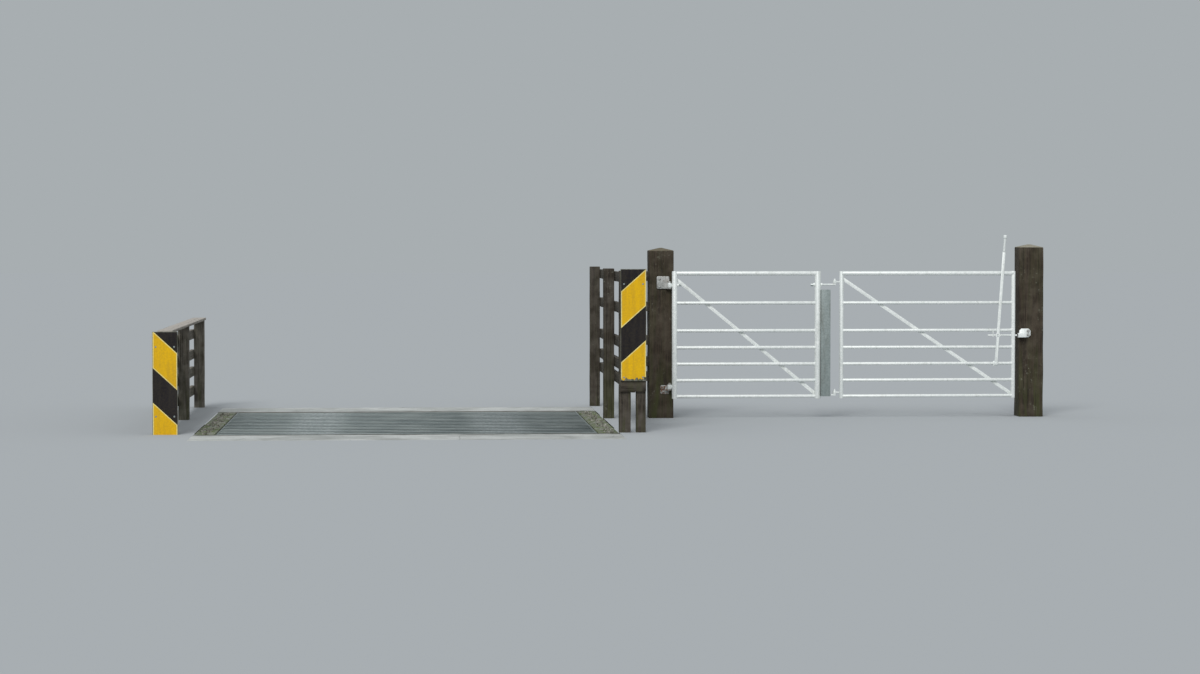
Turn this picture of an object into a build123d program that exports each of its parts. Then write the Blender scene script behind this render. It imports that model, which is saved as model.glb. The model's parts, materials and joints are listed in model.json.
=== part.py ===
from build123d import *
import math
import os

# Cattle grid with its by-pass gates, in millimetres.
# X runs across the road, Y along it and Z up. The origin is under the middle of the pit.
# Heights whose names start with h are measured from the road surface.

# Pit
road = 550  # height of the road surface over the underside of the pit floor
floor_thick = 120
pit_width = 3160  # across the road, between the side walls
side_wall_thick = 170
abutment_thick = 400
apron = 350  # the top of each abutment reaches this far on under the road's surfacing
apron_thick = 150
ledge = 100  # step in each side wall that carries the ends of the bars
floor_heel = 180  # the floor reaches this far outside the side walls
sleeper_x = 530  # the two sleeper walls stand this far from the middle
sleeper_thick = 215
arris = 12  # chamfer on the concrete edges beside the road

# Grid bars, rolled steel joists
bar_depth = 127
bar_width = 76
bar_web = 4
bar_flange = 7.6
bar_root = 6  # slope of 45 degrees in each corner between web and flange
bar_gap = 130
bars_per_panel = 5
panel_names = ["near", "middle", "far"]
panel_joint = 10  # between the edge flats of two panels, and at the abutments
edge_flat = 10
edge_clearance = 15  # between a panel's edge flat and the side wall

# Wing fences, one each side of the road
wing_post = 96
wing_bay = 1950  # along the road, from post to post
wing_middle_y = 500
rail_thick = 38
rail_depth = 88
right_wing_top = 1340
right_low_rails = [375, 508, 700, 1000]
right_top_rail_drop = 70  # from the posts' tops to the middle of the top rail
left_wing_top = 830
left_rails = [165, 345, 508, 700]
cap_thick = 25
cap_width = 124
post_chamfer = 8

# Hazard marker boards
board_thick = 18
board_tall = 925
board_rise = 14  # the boards stand this far over their posts
right_board_width = 213
left_board_width = 206
right_board_shift = 66  # the right board's middle stands this far outside its post's
board_leg = 80
batten_thick = 25
batten_depth = 100
top_batten_drop = 110  # from the posts' tops to the middle of the upper batten
right_foot_batten = -39  # middle of the lower batten over the foot of its board
left_foot_batten = 230

# Gate posts
gate_post = 220
gate_post_inset = 470  # from the wing's posts to the middle of the left gate post
gate_post_back = 40  # the front of the gate posts stands this far before the wing's middle
left_gate_post_top = 1500
right_gate_post_top = 1530
post_weathering = 25  # rise of the four-way top
post_peak = 25  # width of the flat at its peak

# Gate leaves, both in one plane
leaf_forward = 40  # from the posts' face to the leaves' plane
leaf_foot = 175
leaf_rail_heights = [195, 338, 485, 632, 783, 1031]
top_rail_height = 1296
vehicle_leaf_width = 1287  # between the middles of its stiles
vehicle_hang_r = 24
vehicle_slam_r = 28
vehicle_rail_r = 15
bridle_leaf_width = 1557
bridle_stile_r = 18.5
bridle_rail_r = 14
top_rail_r = 19
brace_width = 30
brace_thick = 8
brace_short = 12  # the brace stops this far short of each stile's middle
weld_seat = 1  # depth of the saddle in a piece that is welded to a tube
box_stile_width = 82
box_stile_wall = 4
box_stile_foot = 195
box_stile_drop = 147  # from the middle of the top rail to the box stile's cap

# Hooks and eyes
low_plate = 78  # the lower hook's square plate on the post
high_plate = 112
high_plate_rise = 50  # the upper plate's middle stands this far over its arm's
hook_plate_thick = 8
plate_corner = 8  # clipped off each corner of a plate
hook_thick = 12
running = 0.3  # clearance of an eye on its pin
pin_seat = 6  # width of the shoulder round a pin that its eye sits on
pin_stand = 15  # a pin stands this far out of its eye
vehicle_pin_shift = 70  # from the middle of the left gate post to the pins
vehicle_pin_r = 9.5
vehicle_eye_r = 19
vehicle_eye_tall = 40
vehicle_eye_reach = 45  # from the pins to the middle of the hanging stile
vehicle_low_hook = 87  # over the foot of the leaf
vehicle_high_hook = 126  # under the middle of the top rail
bridle_pin_shift = 43  # from the box stile's face to the pins
bridle_pin_r = 8
bridle_eye_r = 16
bridle_eye_tall = 30
bridle_eye_reach = 61.5
bridle_low_hook = 17  # over the foot of the box stile
bridle_high_hook = 54  # over its top
thread_r = 8  # of a shank that goes through a stile
thread_tail = 36  # a threaded shank stands this far out of its stile
nut_across = 28
nut_thick = 13

# Latch
bolt_drop = 46  # from the middle of the rail over the bolt to the bolt's
lever_inset = 161.5  # from the shutting stile's middle to the lever's pivot
lever_lean = 4  # degrees
lever_length = 1156
lever_width = 25
lever_thick = 8
lever_clear = 14  # between the rails' front and the lever
foot_r = 17.5
grip_length = 150
grip_r = 11
knob_r = 16
knob_arris = 5  # chamfer round both ends of the knob
bolt_r = 8
bolt_tail = 55  # the bolt reaches this far back from its drive pin
bolt_running = 0.6
bolt_clear = 7  # between the bolt's tip and the keeper's mouth, drawn back as it is here
guide_inset = 40  # from the drive pin to the lug that the bolt slides in
guide_thick = 8
guide_wall = 6
slot_room = 1.2  # each side of the drive pin in the lever's slot
drive_pin_r = 6
slot_length = 26
slot_plate = 44
pivot_r = 6
pivot_plate = 44
pivot_plate_thick = 6
latch_gap = 46  # between the bridle leaf and the right gate post
keeper_wall = 6
keeper_room = 5  # round the bolt in the socket
keeper_socket = 74
keeper_reach = 20  # the socket's mouth stands this far out of the post's side
keeper_plate = 8
keeper_plate_rise = 40  # the plate stands this far over the top of the socket
keeper_plate_end = 102  # from the post's side to the plate's far end
keeper_corner = 18  # clipped off the plate's corners that are clear of the socket

# Worked out from the sizes above
bar_pitch = bar_width + bar_gap
bar_seat = road - bar_depth
panel_length = bars_per_panel * bar_pitch
pit_half = (len(panel_names) * panel_length + panel_joint) / 2
pit_end = pit_half + abutment_thick
wall_inner = pit_width / 2
wall_outer = wall_inner + side_wall_thick
deck_half = wall_inner - edge_clearance
bar_half = deck_half - edge_flat

right_wing_x = wall_outer + wing_post / 2
left_wing_x = -(wall_outer + floor_heel + wing_post / 2)
wing_post_y = [wing_middle_y - wing_bay, wing_middle_y, wing_middle_y + wing_bay]
wing_ends_y = (wing_post_y[0] - wing_post / 2, wing_post_y[-1] + wing_post / 2)
right_rails = right_low_rails + [right_wing_top - right_top_rail_drop]

right_board_x = right_wing_x + right_board_shift - right_board_width / 2
left_board_x = left_wing_x - left_board_width / 2
right_board_foot = right_wing_top + board_rise - board_tall
left_board_foot = left_wing_top + board_rise - board_tall
right_battens = [right_board_foot + right_foot_batten, right_wing_top - top_batten_drop]
left_battens = [left_board_foot + left_foot_batten, left_wing_top - top_batten_drop]
post_front = wing_ends_y[0]
board_back = post_front - batten_thick

gate_post_front = wing_middle_y - gate_post_back
post_faces_y = (gate_post_front, gate_post_front + gate_post)
plate_front = gate_post_front - hook_plate_thick
leaf_y = gate_post_front - leaf_forward
left_gate_post_x = right_wing_x + gate_post_inset
vehicle_pin_x = left_gate_post_x + vehicle_pin_shift
vehicle_hang_x = vehicle_pin_x + vehicle_eye_reach
vehicle_slam_x = vehicle_hang_x + vehicle_leaf_width
box_stile_x = vehicle_slam_x + vehicle_slam_r
bridle_pin_x = box_stile_x + box_stile_width + bridle_pin_shift
bridle_hang_x = bridle_pin_x + bridle_eye_reach
bridle_slam_x = bridle_hang_x + bridle_leaf_width
right_post_side = bridle_slam_x + bridle_stile_r + latch_gap
right_gate_post_x = right_post_side + gate_post / 2
box_stile_top = top_rail_height - box_stile_drop
vehicle_hook_heights = [leaf_foot + vehicle_low_hook, top_rail_height - vehicle_high_hook]
bridle_hook_heights = [box_stile_foot + bridle_low_hook, box_stile_top + bridle_high_hook]

high_shank_z = road + vehicle_hook_heights[1] + running + vehicle_eye_tall / 2
hook_shank_z = road + bridle_hook_heights[1] - thread_r

lever_foot_x = bridle_slam_x - lever_inset
third_rail, fifth_rail = leaf_rail_heights[2], leaf_rail_heights[4]
lever_foot_z = road + third_rail
bolt_z = road + fifth_rail - bolt_drop
bolt_lift = bolt_z - lever_foot_z
drive_pin_x = lever_foot_x + bolt_lift * math.tan(math.radians(lever_lean))
rail_front = leaf_y - bridle_rail_r
lever_y = (rail_front - lever_clear - lever_thick, rail_front - lever_clear)
keeper_mouth_x = right_post_side - keeper_reach
bolt_tip_x = keeper_mouth_x - bolt_clear


def block(x, y, z):
    """A box between two coordinates on each axis."""
    size = [b - a for a, b in (x, y, z)]
    middle = [(a + b) / 2 for a, b in (x, y, z)]
    return Pos(*middle) * Box(*size)


def rod_x(radius, x, y, z):
    """A round bar along X between two coordinates."""
    return Pos((x[0] + x[1]) / 2, y, z) * Rot(0, 90, 0) * Cylinder(radius, x[1] - x[0])


def rod_y(radius, x, y, z):
    """A round bar along Y between two coordinates."""
    return Pos(x, (y[0] + y[1]) / 2, z) * Rot(90, 0, 0) * Cylinder(radius, y[1] - y[0])


def rod_z(radius, x, y, z):
    """A round bar along Z between two coordinates."""
    return Pos(x, y, (z[0] + z[1]) / 2) * Cylinder(radius, z[1] - z[0])


def save(name, shape):
    """Write one sub-part as parts/NAME.step."""
    export_step(shape, f"parts/{name}.step")


def group(solids):
    """Like pieces that don't touch, kept as separate solids of one sub-part."""
    return Compound(children=[s.solid() for s in solids])


# Concrete pit
def pit_floor():
    reach = wall_outer + floor_heel
    return block((-reach, reach), (-pit_end, pit_end), (0, floor_thick))


def abutment(side):
    """A wall across the road whose top reaches out as an apron."""
    inner, outer, lip = side * pit_half, side * pit_end, side * (pit_end + apron)
    shelf = road - apron_thick
    outline = [
        (inner, floor_thick),
        (outer, floor_thick),
        (outer, shelf),
        (lip, shelf),
        (lip, road),
        (inner, road),
    ]
    face = make_face(Plane.YZ * Polyline(outline, close=True))
    wall = extrude(face, amount=wall_outer, both=True)
    top_edges = wall.edges().filter_by(Axis.X).group_by(Axis.Z)[-1]
    return chamfer(top_edges, arris)


def side_wall(side):
    """A wall with a ledge at the height of the bars' underside."""
    foot = side * (wall_inner - ledge)
    inner, outer = side * wall_inner, side * wall_outer
    outline = [
        (foot, floor_thick),
        (outer, floor_thick),
        (outer, road),
        (inner, road),
        (inner, bar_seat),
        (foot, bar_seat),
    ]
    face = make_face(Plane.XZ * Polyline(outline, close=True))
    return extrude(face, amount=pit_half, both=True)


def sleeper_wall(side):
    middle = side * sleeper_x
    x = (middle - sleeper_thick / 2, middle + sleeper_thick / 2)
    return block(x, (-pit_half, pit_half), (floor_thick, bar_seat))


# Steel grid in three lift-out panels
def joist():
    """A rolled joist across the road, its top at the road surface."""
    recess_tall = bar_depth - 2 * bar_flange
    recess_wide = bar_width
    recess = chamfer(Rectangle(recess_wide, recess_tall).vertices(), bar_root)
    shift = bar_web / 2 + recess_wide / 2
    section = Rectangle(bar_width, bar_depth) - Pos(shift, 0) * recess - Pos(-shift, 0) * recess
    laid = Plane.YZ * section
    return Pos(0, 0, road - bar_depth / 2) * extrude(laid, amount=bar_half, both=True)


def panel_middle(number):
    return (number - (len(panel_names) - 1) / 2) * panel_length


def panel_bars(number):
    bar = joist()
    first = panel_middle(number) - (bars_per_panel - 1) / 2 * bar_pitch
    return group([Pos(0, first + i * bar_pitch, 0) * bar for i in range(bars_per_panel)])


def panel_edges(number):
    half = (panel_length - panel_joint) / 2
    y = (panel_middle(number) - half, panel_middle(number) + half)
    flats = []
    for side in (-1, 1):
        x = sorted((side * bar_half, side * deck_half))
        flats.append(block(x, y, (bar_seat, road)))
    return group(flats)


# Timber wings
def timber_post(x, y, size, foot, top):
    post = block((x - size / 2, x + size / 2), (y - size / 2, y + size / 2), (foot, road + top))
    return chamfer(post.edges().group_by(Axis.Z)[-1], post_chamfer)


def wing_posts(x, floor, top):
    """Posts that stand on the pit floor's heel, or go down beside it."""
    posts = []
    for y in wing_post_y:
        foot = floor if abs(y) + wing_post / 2 < pit_end else 0
        posts.append(timber_post(x, y, wing_post, foot, top))
    return group(posts)


def wing_rails(x, side, heights):
    """Rails on the faces of the posts that look away from the road."""
    face = x + side * wing_post / 2
    across = sorted((face, face + side * rail_thick))
    rails = []
    for h in heights:
        z = (road + h - rail_depth / 2, road + h + rail_depth / 2)
        rails.append(block(across, wing_ends_y, z))
    return group(rails)


def left_cap():
    x = (left_wing_x - cap_width / 2, left_wing_x + cap_width / 2)
    z = (road + left_wing_top, road + left_wing_top + cap_thick)
    cap = block(x, wing_ends_y, z)
    return chamfer(cap.edges().group_by(Axis.Z)[-1], cap_thick / 4)


def hazard_board(left_edge, width, foot):
    y = (board_back - board_thick, board_back)
    return block((left_edge, left_edge + width), y, (road + foot, road + foot + board_tall))


def battens(left_edge, width, heights):
    """Cross pieces that carry a board on the near post."""
    x = (left_edge, left_edge + width)
    strips = []
    for h in heights:
        z = (road + h - batten_depth / 2, road + h + batten_depth / 2)
        strips.append(block(x, (board_back, post_front), z))
    return group(strips)


def right_board_leg():
    right = right_board_x + right_board_width
    x = (right - board_leg, right)
    y = (post_front, post_front + board_leg)
    leg = block(x, y, (floor_thick, road + right_wing_top))
    return chamfer(leg.edges().group_by(Axis.Z)[-1], post_chamfer)


# Gate posts
def gate_post_solid(x, top):
    """A square post with a four-way weathered top."""
    half = gate_post / 2
    post = block((x - half, x + half), post_faces_y, (0, road + top + post_weathering))
    flat_top = post.faces().sort_by(Axis.Z)[-1]
    slope_run = (gate_post - post_peak) / 2
    return chamfer(flat_top.edges(), slope_run, post_weathering, reference=flat_top)


def return_rails():
    """Short rails that close the gap between the wing's rails and the gate post."""
    x = (right_wing_x + wing_post / 2 + rail_thick, left_gate_post_x - gate_post / 2)
    y = (wing_middle_y - rail_thick / 2, wing_middle_y + rail_thick / 2)
    rails = []
    for h in right_rails:
        rails.append(block(x, y, (road + h - rail_depth / 2, road + h + rail_depth / 2)))
    return group(rails)


def post_hooks():
    """Plates on the post's face, each with a pin that an eye of the leaf drops on."""
    hooks = []
    plates = [(low_plate, 0), (high_plate, high_plate_rise)]
    for h, (size, rise) in zip(vehicle_hook_heights, plates):
        top = road + h
        middle = top - hook_thick / 2 + rise
        plate = block(
            (vehicle_pin_x - size, vehicle_pin_x),
            (plate_front, gate_post_front),
            (middle - size / 2, middle + size / 2),
        )
        plate = chamfer(plate.edges().filter_by(Axis.Y), plate_corner)
        arm_back = vehicle_pin_x - 2 * vehicle_eye_r
        arm = block((arm_back, vehicle_pin_x), (leaf_y, plate_front), (top - hook_thick, top))
        seat = rod_z(vehicle_pin_r + pin_seat, vehicle_pin_x, leaf_y, (top - hook_thick, top))
        pin_top = top + running + vehicle_eye_tall + pin_stand
        pin = rod_z(vehicle_pin_r, vehicle_pin_x, leaf_y, (top - hook_thick, pin_top))
        hooks.append(plate + arm + seat + pin)
    return group(hooks)


def keeper():
    """A socket on the right post that the bolt slides into, on a plate that rises over it."""
    inside = bolt_r + keeper_room
    z = (bolt_z - inside - keeper_wall, bolt_z + inside + keeper_wall)
    plate = block(
        (right_post_side, right_post_side + keeper_plate_end),
        (gate_post_front - keeper_plate, gate_post_front),
        (z[0], z[1] + keeper_plate_rise),
    )
    from_socket = plate.edges().filter_by(Axis.Y).sort_by(lambda edge: (edge @ 0).X + (edge @ 0).Z)
    plate = chamfer(from_socket[1:], keeper_corner)
    x = (keeper_mouth_x, keeper_mouth_x + keeper_socket)
    y = (leaf_y - inside - keeper_wall, gate_post_front - keeper_plate)
    shell = block(x, y, z)
    hollow = block(
        (x[0], x[1] - keeper_wall),
        (leaf_y - inside, gate_post_front - keeper_plate),
        (bolt_z - inside, bolt_z + inside),
    )
    return plate + (shell - hollow)


# Gate leaves
def leaf_frame(hang_x, hang_r, slam_x, slam_r, rail_r):
    """Two stiles and seven welded rails."""
    z = (road + leaf_foot, road + top_rail_height + top_rail_r)
    frame = rod_z(hang_r, hang_x, leaf_y, z) + rod_z(slam_r, slam_x, leaf_y, z)
    for h in leaf_rail_heights:
        frame += rod_x(rail_r, (hang_x, slam_x), leaf_y, road + h)
    return frame + rod_x(top_rail_r, (hang_x, slam_x), leaf_y, road + top_rail_height)


def stile_bore(stile_x, stile_r, bore_r, z):
    """What a hole along X through a stile takes out."""
    half = 2 * stile_r
    return rod_x(bore_r, (stile_x - half, stile_x + half), leaf_y, z)


def leaf_brace(frame, hang_x, slam_x, rail_r):
    """A flat bar behind the rails, from the top of the hanging side to the foot of the other."""
    start_x, end_x = hang_x + brace_short, slam_x - brace_short
    top = road + top_rail_height - top_rail_r - brace_width
    foot = road + leaf_rail_heights[0] + brace_width / 2
    run, drop = end_x - start_x, top - foot
    turn = math.degrees(math.atan2(drop, run))
    y = leaf_y + rail_r - weld_seat + brace_thick / 2
    bar = Box(math.hypot(run, drop), brace_thick, brace_width)
    return Pos((start_x + end_x) / 2, y, (top + foot) / 2) * Rot(0, turn, 0) * bar - frame


def nut_x(face_x, side, z):
    """A nut on a shank along X, in a shallow saddle on the stile whose side is at face_x."""
    x = sorted((face_x - side * weld_seat, face_x + side * nut_thick))
    hexagon = Plane.YZ * RegularPolygon(nut_across / 2, 6, major_radius=False)
    return Pos(x[0], leaf_y, z) * extrude(hexagon, amount=x[1] - x[0])


def welded_shank(pin_x, stile_x, eye_tall, h):
    """A round shank from an eye to the middle of the stile that it is welded to."""
    return rod_x(eye_tall / 4, (pin_x, stile_x), leaf_y, road + h + running + eye_tall / 2)


def leaf_eye(frame, pin_x, pin_r, eye_r, eye_tall, shank, h):
    """A ring that stands on a hook and turns on its pin, with the shank that holds it."""
    z = (road + h + running, road + h + running + eye_tall)
    ring = rod_z(eye_r, pin_x, leaf_y, z)
    hole = rod_z(pin_r + running, pin_x, leaf_y, z)
    return ring + shank - frame - hole


def vehicle_eyes():
    """The lower eye is welded on. The upper one's shank is drawn through the stile by a nut."""
    size = (vehicle_pin_x, vehicle_pin_r, vehicle_eye_r, vehicle_eye_tall)
    low_h, high_h = vehicle_hook_heights
    welded = welded_shank(vehicle_pin_x, vehicle_hang_x, vehicle_eye_tall, low_h)
    stile_side = vehicle_hang_x + vehicle_hang_r
    shank_x = (vehicle_pin_x, stile_side + thread_tail)
    threaded = rod_x(thread_r, shank_x, leaf_y, high_shank_z) + nut_x(stile_side, 1, high_shank_z)
    return group(
        [
            leaf_eye(vehicle_frame, *size, welded, low_h),
            leaf_eye(vehicle_frame, *size, threaded, high_h),
        ]
    )


def bridle_eyes():
    size = (bridle_pin_x, bridle_pin_r, bridle_eye_r, bridle_eye_tall)
    eyes = []
    for h in bridle_hook_heights:
        shank = welded_shank(bridle_pin_x, bridle_hang_x, bridle_eye_tall, h)
        eyes.append(leaf_eye(bridle_frame, *size, shank, h))
    return group(eyes)


def box_stile():
    """A square tube welded to the shutting side of the vehicle leaf, capped on top."""
    half = box_stile_width / 2
    x = (box_stile_x - weld_seat, box_stile_x + box_stile_width)
    y = (leaf_y - half, leaf_y + half)
    z = (road + box_stile_foot, road + box_stile_top)
    wall = box_stile_wall
    inside = block(
        (x[0] + wall, x[1] - wall), (y[0] + wall, y[1] - wall), (z[0], z[1] - wall)
    )
    return block(x, y, z) - inside - vehicle_frame


def bridle_hooks():
    """Pins for the bridle leaf: one on the box stile, one on a threaded shank over it."""
    half = bridle_pin_r + pin_seat
    hooks = []
    for h in bridle_hook_heights:
        top = road + h
        seat = rod_z(half, bridle_pin_x, leaf_y, (top - hook_thick, top))
        pin_top = top + running + bridle_eye_tall + pin_stand
        hooks.append(seat + rod_z(bridle_pin_r, bridle_pin_x, leaf_y, (top - hook_thick, pin_top)))
    top = road + bridle_hook_heights[0]
    arm_x = (box_stile_x + box_stile_width, bridle_pin_x)
    arm = block(arm_x, (leaf_y - half, leaf_y + half), (top - hook_thick, top))
    stile_sides = (vehicle_slam_x - vehicle_slam_r, vehicle_slam_x + vehicle_slam_r)
    shank = rod_x(thread_r, (stile_sides[0] - thread_tail, bridle_pin_x), leaf_y, hook_shank_z)
    for face_x, side in zip(stile_sides, (-1, 1)):
        shank += nut_x(face_x, side, hook_shank_z) - vehicle_frame
    return group([hooks[0] + arm, hooks[1] + shank])


# Latch
def latch_guide():
    """The lug that the bolt slides in, hung from the rail over it."""
    x = (drive_pin_x - guide_inset - guide_thick / 2, drive_pin_x - guide_inset + guide_thick / 2)
    half = bolt_r + guide_wall
    lug = block(x, (leaf_y - half, leaf_y + half), (bolt_z - half, bolt_z + bolt_drop))
    bore = rod_x(bolt_r + bolt_running, x, leaf_y, bolt_z)
    return lug - bore - bridle_frame


def latch_pivot():
    """A plate on the third rail with the stud that the lever turns on."""
    x, z, half = lever_foot_x, lever_foot_z, pivot_plate / 2
    plate_y = (rail_front - pivot_plate_thick, rail_front + weld_seat)
    plate = block((x - half, x + half), plate_y, (z - half, z + half))
    nut_y = (lever_y[0] - running - pivot_r, lever_y[0] - running)
    spacer = rod_y(2 * pivot_r, x, (lever_y[1] + running, plate_y[0]), z)
    stud = rod_y(pivot_r, x, (nut_y[0], plate_y[0]), z)
    hexagon = Plane.XZ * RegularPolygon(2 * pivot_r, 6)
    nut = Pos(x, nut_y[1], z) * extrude(hexagon, amount=pivot_r)
    return plate - bridle_frame + spacer + stud + nut


def leaned(shape):
    """Turn a piece that was drawn upright on the lever's pivot to the lever's lean."""
    return Pos(lever_foot_x, 0, lever_foot_z) * Rot(0, lever_lean, 0) * shape


def lever():
    """A flat bar with an eye at its foot and a slotted plate at the bolt."""
    y = lever_y
    half = lever_width / 2
    slot_z = bolt_lift / math.cos(math.radians(lever_lean))
    bar = block((-half, half), y, (0, lever_length - grip_length))
    foot = rod_y(foot_r, 0, y, 0)
    plate = rod_y(slot_plate / 2, 0, y, slot_z)
    slot_half = drive_pin_r + slot_room
    straight = slot_length / 2 - slot_half
    slot = block((-slot_half, slot_half), y, (slot_z - straight, slot_z + straight))
    for end in (-straight, straight):
        slot += rod_y(slot_half, 0, y, slot_z + end)
    return leaned(bar + foot + plate - slot - rod_y(pivot_r + running, 0, y, 0))


def lever_grip():
    """A round grip on the lever's top with a knob at its end."""
    y0 = sum(lever_y) / 2
    knob_foot = lever_length - 2 * knob_r
    knob = rod_z(knob_r, 0, y0, (knob_foot, lever_length))
    knob = chamfer(knob.edges().filter_by(GeomType.CIRCLE), knob_arris)
    return leaned(rod_z(grip_r, 0, y0, (lever_length - grip_length, knob_foot)) + knob)


def latch_bolt():
    """A round bolt with a drive pin that stands into the lever's slot."""
    shaft = rod_x(bolt_r, (drive_pin_x - bolt_tail, bolt_tip_x), leaf_y, bolt_z)
    tip_edge = shaft.edges().filter_by(GeomType.CIRCLE).group_by(Axis.X)[-1]
    shaft = chamfer(tip_edge, bolt_r / 4)
    return shaft + rod_y(drive_pin_r, drive_pin_x, (lever_y[0] - pivot_r, leaf_y), bolt_z)


os.makedirs("parts", exist_ok=True)

save("pit_floor", pit_floor())
save("near_abutment", abutment(-1))
save("far_abutment", abutment(1))
for name, side in (("left", -1), ("right", 1)):
    save(f"{name}_side_wall", side_wall(side))
    save(f"{name}_sleeper_wall", sleeper_wall(side))

for number, name in enumerate(panel_names):
    save(f"{name}_panel_bars", panel_bars(number))
    save(f"{name}_panel_edges", panel_edges(number))

save("right_wing_posts", wing_posts(right_wing_x, floor_thick, right_wing_top))
save("right_wing_rails", wing_rails(right_wing_x, 1, right_rails))
save("right_board_leg", right_board_leg())
save("right_board_battens", battens(right_board_x, right_board_width, right_battens))
save("right_hazard_board", hazard_board(right_board_x, right_board_width, right_board_foot))
save("left_wing_posts", wing_posts(left_wing_x, 0, left_wing_top))
save("left_wing_rails", wing_rails(left_wing_x, -1, left_rails))
save("left_wing_cap", left_cap())
save("left_board_battens", battens(left_board_x, left_board_width, left_battens))
save("left_hazard_board", hazard_board(left_board_x, left_board_width, left_board_foot))

save("left_gate_post", gate_post_solid(left_gate_post_x, left_gate_post_top))
save("right_gate_post", gate_post_solid(right_gate_post_x, right_gate_post_top))
save("return_rails", return_rails())
save("gate_hooks", post_hooks())
save("latch_keeper", keeper())

vehicle_frame = leaf_frame(
    vehicle_hang_x, vehicle_hang_r, vehicle_slam_x, vehicle_slam_r, vehicle_rail_r
)
vehicle_frame -= stile_bore(vehicle_hang_x, vehicle_hang_r, thread_r + running, high_shank_z)
vehicle_frame -= stile_bore(vehicle_slam_x, vehicle_slam_r, thread_r + running, hook_shank_z)
save("vehicle_leaf_frame", vehicle_frame)
save(
    "vehicle_leaf_brace",
    leaf_brace(vehicle_frame, vehicle_hang_x, vehicle_slam_x, vehicle_rail_r),
)
save("vehicle_leaf_eyes", vehicle_eyes())
save("box_stile", box_stile())
save("bridle_hooks", bridle_hooks())

bridle_frame = leaf_frame(
    bridle_hang_x, bridle_stile_r, bridle_slam_x, bridle_stile_r, bridle_rail_r
)
bridle_frame -= stile_bore(bridle_slam_x, bridle_stile_r, bolt_r + bolt_running, bolt_z)
save("bridle_leaf_frame", bridle_frame)
save(
    "bridle_leaf_brace",
    leaf_brace(bridle_frame, bridle_hang_x, bridle_slam_x, bridle_rail_r),
)
save("bridle_leaf_eyes", bridle_eyes())
save("latch_guide", latch_guide())
save("latch_pivot", latch_pivot())
save("latch_lever", lever())
save("lever_grip", lever_grip())
save("latch_bolt", latch_bolt())
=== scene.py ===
# %% [markdown]
# # A cattle grid with by-pass gates
#
# The solids of this object are already made and stand in their places: a concrete pit, a deck of
# rolled steel bars, two low timber wings with striped marker boards, and a pair of tubular gates
# between two heavy posts. This lesson gives them their surfaces. Each timber is modelled again with
# worn arrises and drying splits, the steel gets rounded edges, welds and bolts, and every surface
# gets a finish that is worked out by shader nodes.
#
# First the solids are loaded. Their size is kept.

# %% Load the solids
import json
import math
import random

import bpy
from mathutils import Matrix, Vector


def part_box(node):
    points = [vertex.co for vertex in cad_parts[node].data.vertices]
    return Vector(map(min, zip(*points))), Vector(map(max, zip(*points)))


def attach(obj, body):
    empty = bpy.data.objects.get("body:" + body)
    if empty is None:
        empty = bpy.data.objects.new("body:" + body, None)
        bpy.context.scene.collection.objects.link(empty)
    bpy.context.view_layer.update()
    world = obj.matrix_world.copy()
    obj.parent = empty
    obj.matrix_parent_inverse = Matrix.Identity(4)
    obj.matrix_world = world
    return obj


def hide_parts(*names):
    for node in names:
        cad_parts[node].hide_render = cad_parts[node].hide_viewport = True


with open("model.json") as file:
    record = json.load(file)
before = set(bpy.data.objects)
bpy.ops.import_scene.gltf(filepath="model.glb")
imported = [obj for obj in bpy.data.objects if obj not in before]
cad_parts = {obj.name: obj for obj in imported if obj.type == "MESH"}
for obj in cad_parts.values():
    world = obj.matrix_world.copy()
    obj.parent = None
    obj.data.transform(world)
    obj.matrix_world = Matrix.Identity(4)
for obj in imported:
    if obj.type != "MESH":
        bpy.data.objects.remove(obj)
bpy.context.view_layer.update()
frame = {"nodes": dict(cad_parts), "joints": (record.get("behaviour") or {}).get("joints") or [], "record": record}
nodes = frame["nodes"]
joints = {joint["name"]: joint for joint in frame["joints"]}
bodies = frame["record"]["behaviour"]["bodies"]
home = {node: body for body, held in bodies.items() for node in held}
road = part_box("near_abutment")[1].z
X, Y, Z = 0, 1, 2
print(len(nodes), "solids, road surface at", round(road, 3), "m")

# %% [markdown]
# ## Working as by hand
#
# Blender's operators act on whatever is selected, so each helper first selects one piece alone. Faces
# and edges are picked by where they are and which way they point, which still works when a size
# changes, where a list of face numbers would not.

# %% Helpers for selecting
def pick(*pieces):
    """Select these pieces alone. The last one becomes active."""
    bpy.ops.object.select_all(action="DESELECT")
    for piece in pieces:
        piece.select_set(True)
    bpy.context.view_layer.objects.active = pieces[-1]


def open_up(piece):
    """Enter edit mode with the whole piece selected."""
    pick(piece)
    bpy.ops.object.mode_set(mode="EDIT")
    bpy.ops.mesh.select_all(action="SELECT")


def leave():
    bpy.ops.object.mode_set(mode="OBJECT")


def choose(piece, kind, test):
    """Enter edit mode with the faces or edges selected whose middle and direction pass a test."""
    open_up(piece)
    bpy.ops.mesh.select_mode(type=kind)
    bpy.ops.mesh.select_all(action="DESELECT")
    leave()
    mesh = piece.data
    if kind == "FACE":
        for face in mesh.polygons:
            face.select = test(face.center, face.normal)
    else:
        for edge in mesh.edges:
            start, end = (mesh.vertices[i].co for i in edge.vertices)
            edge.select = test((start + end) / 2, (end - start).normalized())
    bpy.ops.object.mode_set(mode="EDIT")


def faces_up(middle, facing):
    return facing.z > 0.9


def lies_along(axis):
    """A test for edges that run along an axis."""
    return lambda middle, way: abs(way[axis]) > 0.99


# %% Helpers for shaping
def subdivide(piece, kind, test, cuts):
    """Cut the edges or faces that pass a test into smaller ones."""
    choose(piece, kind, test)
    bpy.ops.mesh.subdivide(number_cuts=cuts)
    leave()


def bevel(piece, kind, test, width, segments=2):
    """Round the edges that pass a test, or the rims of the faces that do."""
    choose(piece, kind, test)
    bpy.ops.mesh.bevel(offset=width, segments=segments, affect="EDGES")
    leave()


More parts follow.
